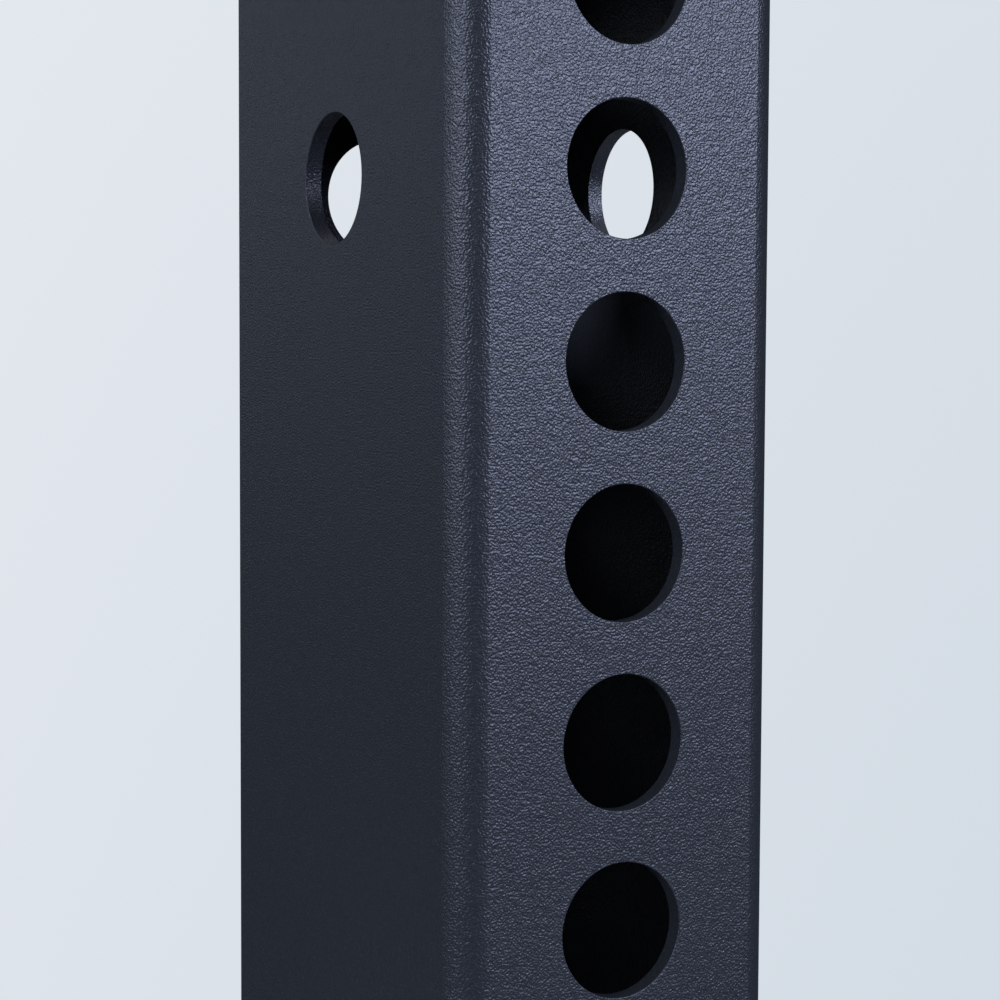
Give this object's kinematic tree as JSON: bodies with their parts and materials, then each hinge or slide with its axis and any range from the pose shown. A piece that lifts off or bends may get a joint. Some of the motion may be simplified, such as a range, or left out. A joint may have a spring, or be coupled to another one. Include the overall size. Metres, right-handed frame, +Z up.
{
  "type": "power cage",
  "caption": "Free-standing power cage of punched rectangular steel uprights with bolted members, pull-up bar, J-hooks, pin-and-pipe safeties and rear plate horns.",
  "frame": {"origin": "on the floor, at the bottom centre of the whole object's box, J-hooks, rod grips and plate horns included", "axes": "+Z up; +X to the lifter's right as the lifter walks in; +Y into the cage, from the open front to the rear"},
  "size_m": [1.328, 1.2364, 2.113],
  "materials": {
    "powder_coat": "fine-textured satin black powder coat with a blue-grey cast",
    "bracket_coat": "fine-textured satin black powder coat",
    "bar_steel": "bright zinc over knurled or ground steel",
    "horn_steel": "ground steel tube with a coated plate",
    "zinc_hardware": "zinc-plated hardware",
    "liner_plastic": "satin wear-resistant polyethylene",
    "cap_plastic": "moulded black nylon",
    "rubber": "matt black rubber"
  },
  "bodies": {
    "root": {"upright_front_left": "powder_coat", "foot_plate_front_left": "powder_coat", "foot_pad_front_left": "rubber", "top_cap_front_left": "cap_plastic", "upright_front_right": "powder_coat", "foot_plate_front_right": "powder_coat", "foot_pad_front_right": "rubber", "top_cap_front_right": "cap_plastic", "upright_rear_left": "powder_coat", "foot_plate_rear_left": "powder_coat", "foot_pad_rear_left": "rubber", "top_cap_rear_left": "cap_plastic", "upright_rear_right": "powder_coat", "foot_plate_rear_right": "powder_coat", "foot_pad_rear_right": "rubber", "top_cap_rear_right": "cap_plastic", "lower_side_member_left": "powder_coat", "plate_horn_lower_left": "horn_steel", "upper_side_member_left": "powder_coat", "plate_horn_upper_left": "horn_steel", "lower_side_member_right": "powder_coat", "plate_horn_lower_right": "horn_steel", "upper_side_member_right": "powder_coat", "plate_horn_upper_right": "horn_steel", "lower_rear_crossmember": "powder_coat", "upper_rear_crossmember": "powder_coat", "pull_up_bar": "bar_steel", "plate_horn_bumpers": "rubber", "plate_horn_caps": "cap_plastic", "side_member_bolts": "zinc_hardware", "side_member_washers": "zinc_hardware", "side_member_nuts": "zinc_hardware", "crossmember_bolts": "zinc_hardware", "crossmember_washers": "zinc_hardware", "crossmember_nuts": "zinc_hardware", "plate_horn_bolts": "zinc_hardware", "plate_horn_washers": "zinc_hardware", "plate_horn_nuts": "zinc_hardware", "band_pegs": "bar_steel", "band_peg_nuts": "zinc_hardware"},
    "jhook_peg_left": {"jhook_peg_left": "zinc_hardware"},
    "jhook_left": {"jhook_bracket_left": "bracket_coat", "jhook_liner_left": "liner_plastic", "jhook_screws_left": "zinc_hardware"},
    "safety_rod_left": {"safety_rod_left": "bar_steel", "safety_grip_left": "rubber"},
    "safety_pipe_left": {"safety_pipe_left": "powder_coat", "safety_bushes_left": "cap_plastic"},
    "jhook_peg_right": {"jhook_peg_right": "zinc_hardware"},
    "jhook_right": {"jhook_bracket_right": "bracket_coat", "jhook_liner_right": "liner_plastic", "jhook_screws_right": "zinc_hardware"},
    "safety_rod_right": {"safety_rod_right": "bar_steel", "safety_grip_right": "rubber"},
    "safety_pipe_right": {"safety_pipe_right": "powder_coat", "safety_bushes_right": "cap_plastic"}
  },
  "joints": [
    {"name": "jhook_pull_left", "type": "slide", "parent": "root", "child": "jhook_peg_left", "axis": [0, -1, 0], "range_m": [0, 0.05]},
    {"name": "jhook_swing_left", "type": "hinge", "parent": "jhook_peg_left", "child": "jhook_left", "pos_m": [-0.571, -0.5378, 1.3808], "axis": [0, 1, 0], "range_deg": [0, 90]},
    {"name": "jhook_pull_right", "type": "slide", "parent": "root", "child": "jhook_peg_right", "axis": [0, -1, 0], "range_m": [0, 0.05]},
    {"name": "jhook_swing_right", "type": "hinge", "parent": "jhook_peg_right", "child": "jhook_right", "pos_m": [0.571, -0.5378, 1.3808], "axis": [0, -1, 0], "range_deg": [0, 90]},
    {"name": "safety_rod_pull_left", "type": "slide", "parent": "root", "child": "safety_rod_left", "axis": [0, -1, 0], "range_m": [0, 0.937]},
    {"name": "safety_pipe_roll_left", "type": "hinge", "parent": "root", "child": "safety_pipe_left", "pos_m": [-0.571, -0.0808, 0.7712], "axis": [0, 1, 0], "continuous": true},
    {"name": "safety_rod_pull_right", "type": "slide", "parent": "root", "child": "safety_rod_right", "axis": [0, -1, 0], "range_m": [0, 0.937]},
    {"name": "safety_pipe_roll_right", "type": "hinge", "parent": "root", "child": "safety_pipe_right", "pos_m": [0.571, -0.0808, 0.7712], "axis": [0, 1, 0], "continuous": true}
  ]
}
